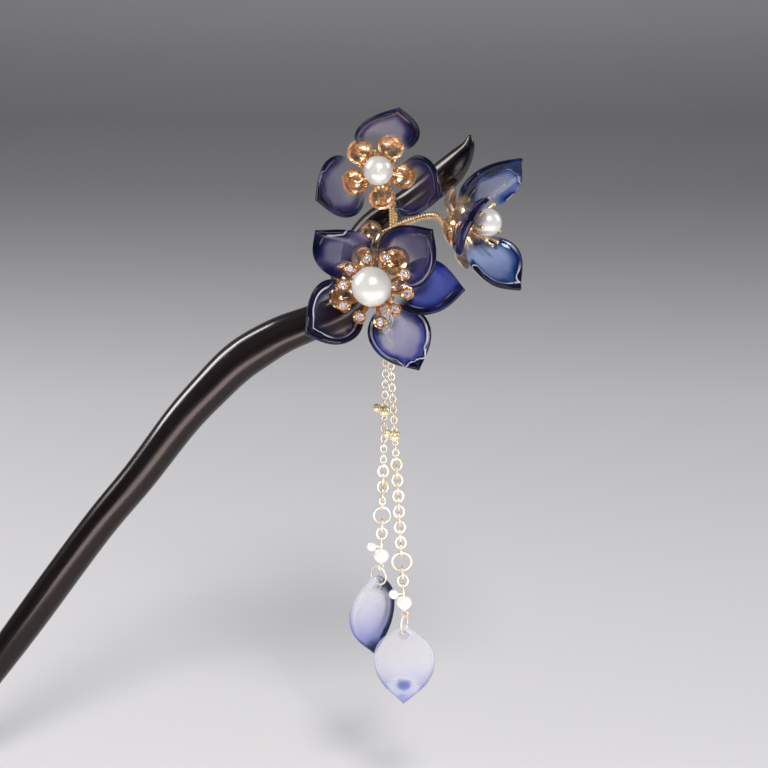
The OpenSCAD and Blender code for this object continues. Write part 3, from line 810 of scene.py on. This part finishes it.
def finish_piece(name, shape, material, replaced):
    """A bmesh as an object that rides on the root and stands for CAD nodes."""
    piece = add_mesh(name, shape, material)
    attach(piece, "root")
    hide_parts(*replaced)
    return piece


def dress(nodes, material):
    """Gives CAD nodes a finish."""
    for name in nodes:
        slots = NODES[name].data.materials
        slots.clear()
        slots.append(material)


def subdivide(piece):
    """Rounds a piece's faces."""
    modifier = piece.modifiers.new("Smooth", "SUBSURF")
    modifier.levels = SMOOTH_LEVELS
    modifier.render_levels = SMOOTH_LEVELS


def is_point(part):
    """Whether a part of a bmesh is a point."""
    return isinstance(part, bmesh.types.BMVert)


def superellipse(angle, power):
    """A point of a rounded section: round at a power of 2, more pointed below it."""
    c, s = math.cos(angle), math.sin(angle)
    return (
        math.copysign(abs(c) ** (2.0 / power), c),
        math.copysign(abs(s) ** (2.0 / power), s),
    )


def next_ring(shape, ring):
    """Draws a ring of points out, and gives the new ring in the same order."""
    edges = [
        next(e for e in v.link_edges if e.other_vert(v) is ring[(k + 1) % len(ring)])
        for k, v in enumerate(ring)
    ]
    drawn = bmesh.ops.extrude_edge_only(shape, edges=edges)
    fresh = {part for part in drawn["geom"] if is_point(part)}
    return [
        next(e.other_vert(v) for e in v.link_edges if e.other_vert(v) in fresh)
        for v in ring
    ]


def carve_stick(settings):
    """The stick as one run of rings, drawn out along its curve."""
    rows = smooth_rows(STICK_ROWS, settings.steps)
    shape = bmesh.new()
    length_tag = shape.verts.layers.float.new("along")
    round_tag = shape.verts.layers.float.new("round")
    upper_tag = shape.verts.layers.float.new("upper")
    bmesh.ops.create_circle(shape, cap_ends=True, segments=settings.sides, radius=1.0)
    ring = sorted(shape.verts, key=lambda v: math.atan2(v.co.y, v.co.x) % math.tau)
    angles = [math.tau * k / settings.sides for k in range(settings.sides)]
    length = 0.0
    for i, row in enumerate(rows):
        before, after = rows[max(i - 1, 0)], rows[min(i + 1, len(rows) - 1)]
        way = Vector((after[0] - before[0], 0.0, after[1] - before[1])).normalized()
        side = Vector((-way.z, 0.0, way.x))
        centre = Vector((row[0], 0.0, row[1]))
        if i:
            length += (centre - Vector((before[0], 0.0, before[1]))).length
            ring = next_ring(shape, ring)
        for v, angle in zip(ring, angles):
            across, deep = superellipse(angle, row[4])
            if deep < 0:
                across += settings.ridge * (2 - row[4]) * (1 - abs(across))
            v.co = (
                centre + side * across * row[2] / 2 + Vector((0, deep * row[3] / 2, 0))
            ) * MM
            v[length_tag] = length * MM
            v[round_tag] = math.sin(angle) * row[3] / 2 * MM
            v[upper_tag] = math.cos(angle)
    bmesh.ops.contextual_create(shape, geom=ring)
    bmesh.ops.recalc_face_normals(shape, faces=shape.faces)
    return shape


def merged_copy(node):
    """A copy of a CAD node's mesh with its points merged and its triangles paired."""
    shape = bmesh.new()
    shape.from_mesh(NODES[node].data)
    bmesh.ops.remove_doubles(shape, verts=shape.verts, dist=MERGE_DISTANCE)
    bmesh.ops.join_triangles(
        shape, faces=shape.faces, cmp_seam=False, cmp_sharp=False, cmp_uvs=False,
        cmp_vcols=False, cmp_materials=False, angle_face_threshold=PAIR_FACES,
        angle_shape_threshold=PAIR_SHAPES,
    )
    return shape


def rings_from(start):
    """Steps along edges from a point to every other point of its mesh."""
    steps = {start: 0}
    front = [start]
    while front:
        following = []
        for v in front:
            for e in v.link_edges:
                other = e.other_vert(v)
                if other not in steps:
                    steps[other] = steps[v] + 1
                    following.append(other)
        front = following
    return steps


def distance_to(place, edges):
    """Shortest distance from a place to any of some edges, each given by its two ends."""
    nearest = math.inf
    for a, b in edges:
        point, share = intersect_point_line(place, a, b)
        point = a if share < 0 else b if share > 1 else point
        nearest = min(nearest, (place - point).length)
    return nearest


def glass_form(node, hub):
    """A petal's mesh with its distance from the rim and its places along and across."""
    shape = merged_copy(node)
    rim_tag = shape.verts.layers.float.new("rim")
    along_tag = shape.verts.layers.float.new("along")
    side_tag = shape.verts.layers.float.new("side")
    poles = sorted(shape.verts, key=lambda v: -len(v.link_edges))[:2]
    one, two = rings_from(poles[0]), rings_from(poles[1])
    outline = [v for v in shape.verts if one[v] == two[v] and one[v] > OUTLINE_STEPS]
    tip = max(outline, key=lambda v: (v.co - hub).length)
    base = max(outline, key=lambda v: (v.co - tip.co).length)
    spine = tip.co - base.co
    front, back = sorted(poles, key=lambda v: (v.co - hub).length)
    across = spine.cross(front.co - back.co).normalized()
    edges = [
        (e.verts[0].co, e.verts[1].co)
        for e in shape.edges
        if e.verts[0] in outline and e.verts[1] in outline
    ]
    for v in shape.verts:
        v[rim_tag] = distance_to(v.co, edges) / MM
        v[along_tag] = (v.co - base.co).dot(spine) / spine.length_squared
        v[side_tag] = (v.co - base.co).dot(across) / MM
    return shape


def wind_coil(route, outer, wire, pitch):
    """A helix of round wire, spun straight and then bent along a route."""
    points = [Vector(p) * MM for p in smooth_rows(route, ROUTE_STEPS)]
    lengths = [0.0]
    for a, b in zip(points, points[1:]):
        lengths.append(lengths[-1] + (b - a).length)
    turns = int(lengths[-1] / pitch)
    shape = bmesh.new()
    beside_axis = Matrix.Translation(((outer - wire) / 2, 0, 0))
    bmesh.ops.create_circle(
        shape, cap_ends=False, segments=WIRE_SIDES, radius=wire / 2,
        matrix=beside_axis @ Matrix.Rotation(math.pi / 2, 4, "X"),
    )
    bmesh.ops.spin(
        shape, geom=shape.verts[:] + shape.edges[:], cent=(0, 0, 0), axis=(0, 0, 1),
        dvec=(0, 0, pitch / TURN_STEPS), angle=math.tau * turns, steps=turns * TURN_STEPS,
        use_merge=False, use_duplicate=False,
    )
    ends = [e for e in shape.edges if e.is_boundary]
    bmesh.ops.holes_fill(shape, edges=ends, sides=WIRE_SIDES)
    frames = []
    for i, point in enumerate(points):
        way = (points[min(i + 1, len(points) - 1)] - points[max(i - 1, 0)]).normalized()
        side = way.cross(Vector((0, 1, 0)))
        if side.length <= LEAST_ASIDE:
            side = way.cross(Vector((0, 0, 1)))
        frames.append((point, way, side.normalized()))
    for v in shape.verts:
        place = min(max(v.co.z, 0.0), lengths[-1] - SLIVER)
        i = max(k for k, value in enumerate(lengths[:-1]) if value <= place)
        share = (place - lengths[i]) / (lengths[i + 1] - lengths[i])
        start, end = frames[i], frames[i + 1]
        point, way, side = (a.lerp(b, share) for a, b in zip(start, end))
        way = way.normalized()
        side = side.normalized()
        v.co = point + side * v.co.x + side.cross(way) * v.co.y + way * (v.co.z - place)
    bmesh.ops.recalc_face_normals(shape, faces=shape.faces)
    return shape


def floor_form():
    """A flat floor whose far side bends up into a wall."""
    shape = bmesh.new()
    bmesh.ops.create_grid(shape, x_segments=1, y_segments=1, size=FLOOR_HALF)
    far = [e for e in shape.edges if all(v.co.y > 0 for v in e.verts)]
    bmesh.ops.translate(shape, verts=shape.verts, vec=FLOOR_MIDDLE)
    angles = [math.pi / 2 * (k + 1) / WALL_BENDS for k in range(WALL_BENDS)]
    moves = [(0.0, WALL_STEP * math.cos(a), WALL_STEP * math.sin(a)) for a in angles]
    for move in (*moves, (0.0, 0.0, WALL_HEIGHT)):
        drawn = bmesh.ops.extrude_edge_only(shape, edges=far)["geom"]
        fresh = [part for part in drawn if is_point(part)]
        bmesh.ops.translate(shape, verts=fresh, vec=move)
        far = [
            part for part in drawn
            if isinstance(part, bmesh.types.BMEdge) and all(v in fresh for v in part.verts)
        ]
    bmesh.ops.recalc_face_normals(shape, faces=shape.faces)
    return shape


# Stage helpers


def add_camera(stage):
    """The camera, level from side to side and looking down at the flowers."""
    data = bpy.data.cameras.new("camera")
    data.lens = stage.lens
    data.sensor_width = SENSOR
    data.clip_start = NEAREST
    data.clip_end = FARTHEST
    way = Vector((0.0, math.cos(stage.tilt), -math.sin(stage.tilt)))
    camera = add_object("camera", data)
    camera.location = Vector(TARGET) * MM - way * stage.distance
    camera.rotation_euler = (math.pi / 2 - stage.tilt, 0.0, 0.0)
    bpy.context.scene.camera = camera


def add_sky(stage):
    """Soft light from all sides."""
    world = bpy.data.worlds.new("world")
    bpy.context.scene.world = world
    world.use_nodes = True
    background = world.node_tree.nodes["Background"]
    background.inputs["Color"].default_value = (*stage.sky, 1.0)
    background.inputs["Strength"].default_value = stage.sky_strength


def add_light(name, place, size, power, colour):
    """A flat light that faces the flowers."""
    data = bpy.data.lights.new(name, "AREA")
    data.shape = "RECTANGLE"
    data.size, data.size_y = size
    data.energy = power
    data.color = colour
    light = add_object(name, data)
    light.location = place
    way = Vector(LIT_PLACE) - Vector(place)
    light.rotation_euler = way.to_track_quat("-Z", "Y").to_euler()


# Operators


class HAIRSTICK_OT_stick(bpy.types.Operator):
    """Carves the wooden stick"""

    bl_idname = "hairstick.stick"
    bl_label = "Stick"

    def execute(self, context):
        settings = context.scene.hairstick_wood
        finish_piece(
            "carved_stick", carve_stick(settings), wood_finish(settings), ("stick",)
        )
        return {"FINISHED"}


class HAIRSTICK_OT_petals(bpy.types.Operator):
    """Makes the glass petals of the three flowers"""

    bl_idname = "hairstick.petals"
    bl_label = "Petals"

    def execute(self, context):
        glass = context.scene.hairstick_glass
        for node, tint in PETAL_TINTS.items():
            low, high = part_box("pearl_" + node[-2])
            piece = finish_piece(
                "glass_" + node, glass_form(node, (low + high) / 2),
                petal_finish(node, tint, glass), (node,),
            )
            subdivide(piece)
        return {"FINISHED"}


class HAIRSTICK_OT_drops(bpy.types.Operator):
    """Makes the glass drops of the tassels"""

    bl_idname = "hairstick.drops"
    bl_label = "Drops"

    def execute(self, context):
        glass = context.scene.hairstick_glass
        for node, shade in DROPS.items():
            low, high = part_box(node)
            top = Vector(((low.x + high.x) / 2, (low.y + high.y) / 2, high.z))
            piece = finish_piece(
                "glass_" + node, glass_form(node, top), drop_finish(node, shade, glass),
                (node,),
            )
            subdivide(piece)
        return {"FINISHED"}


class HAIRSTICK_OT_coils(bpy.types.Operator):
    """Winds the stems of the two upper flowers"""

    bl_idname = "hairstick.coils"
    bl_label = "Wound stems"

    def execute(self, context):
        gold = context.scene.hairstick_gold
        material = gold_finish("coil_gold", gold.coil, *COIL_GOLD)
        for name, route, outer, node in (
            ("coil_top", ROUTE_B, gold.stem_b, "spring_b"),
            ("coil_right", ROUTE_C, gold.stem_c, "spring_c"),
        ):
            shape = wind_coil(route, outer, gold.coil_wire, gold.coil_pitch)
            finish_piece(name, shape, material, (node,))
        return {"FINISHED"}


class HAIRSTICK_OT_gold(bpy.types.Operator):
    """Gives the cups, stamens and chains their gold"""

    bl_idname = "hairstick.gold"
    bl_label = "Gold"

    def execute(self, context):
        gold = context.scene.hairstick_gold
        dress(CUPS, gold_finish("cup_gold", gold.plate, *CUP_GOLD))
        for node, row in STAMENS.items():
            dress((node,), gold_finish(node + "_gold", *row))
        dress(CHAINS, gold_finish("chain_gold", gold.chain, *CHAIN_GOLD))
        dress(BALLS, gold_finish("ball_gold", gold.ball, *BALL_GOLD))
        return {"FINISHED"}


class HAIRSTICK_OT_pearls(bpy.types.Operator):
    """Gives the pearls and white beads their lustre"""

    bl_idname = "hairstick.pearls"
    bl_label = "Pearls"

    def execute(self, context):
        dress(PEARLS, pearl_finish("pearl_lustre", PEARL_COLOUR))
        dress(BEADS, pearl_finish("bead_lustre", BEAD_COLOUR))
        return {"FINISHED"}


class HAIRSTICK_OT_crystals(bpy.types.Operator):
    """Gives the cut stones their finish"""

    bl_idname = "hairstick.crystals"
    bl_label = "Stones"

    def execute(self, context):
        dress(("crystals_a",), crystal_finish())
        return {"FINISHED"}


class HAIRSTICK_OT_stage(bpy.types.Operator):
    """Sets the floor, the backdrop, the lights and the camera"""

    bl_idname = "hairstick.stage"
    bl_label = "Stage"

    def execute(self, context):
        stage = context.scene.hairstick_stage
        add_camera(stage)
        ground = add_mesh("floor", floor_form(), floor_finish(stage.floor))
        add_sky(stage)
        for row in LIGHTS:
            add_light(*row)
        context.scene.view_settings.view_transform = "Standard"
        return {"FINISHED"}


class HAIRSTICK_PT_panel(bpy.types.Panel):
    """Lists the steps of the build"""

    bl_label = "Hair Stick"
    bl_idname = "HAIRSTICK_PT_panel"
    bl_space_type = "VIEW_3D"
    bl_region_type = "UI"
    bl_category = "Hair Stick"

    def draw(self, context):
        for step in STEPS:
            self.layout.operator(step.bl_idname)


STEPS = (
    HAIRSTICK_OT_stage, HAIRSTICK_OT_stick, HAIRSTICK_OT_petals, HAIRSTICK_OT_drops,
    HAIRSTICK_OT_coils, HAIRSTICK_OT_gold, HAIRSTICK_OT_pearls, HAIRSTICK_OT_crystals,
)
SETTINGS = {
    "hairstick_wood": WoodSettings,
    "hairstick_glass": GlassSettings,
    "hairstick_gold": GoldSettings,
    "hairstick_stage": StageSettings,
}


def register():
    for kind in (*SETTINGS.values(), *STEPS, HAIRSTICK_PT_panel):
        bpy.utils.register_class(kind)
    for name, kind in SETTINGS.items():
        setattr(bpy.types.Scene, name, PointerProperty(type=kind))


def unregister():
    for name in SETTINGS:
        delattr(bpy.types.Scene, name)
    for kind in reversed((*SETTINGS.values(), *STEPS, HAIRSTICK_PT_panel)):
        bpy.utils.unregister_class(kind)


def main():
    """Builds every piece."""
    register()
    for step in STEPS:
        group, name = step.bl_idname.split(".")
        getattr(getattr(bpy.ops, group), name)()
    bpy.context.view_layer.update()


if __name__ == "__main__":
    main()
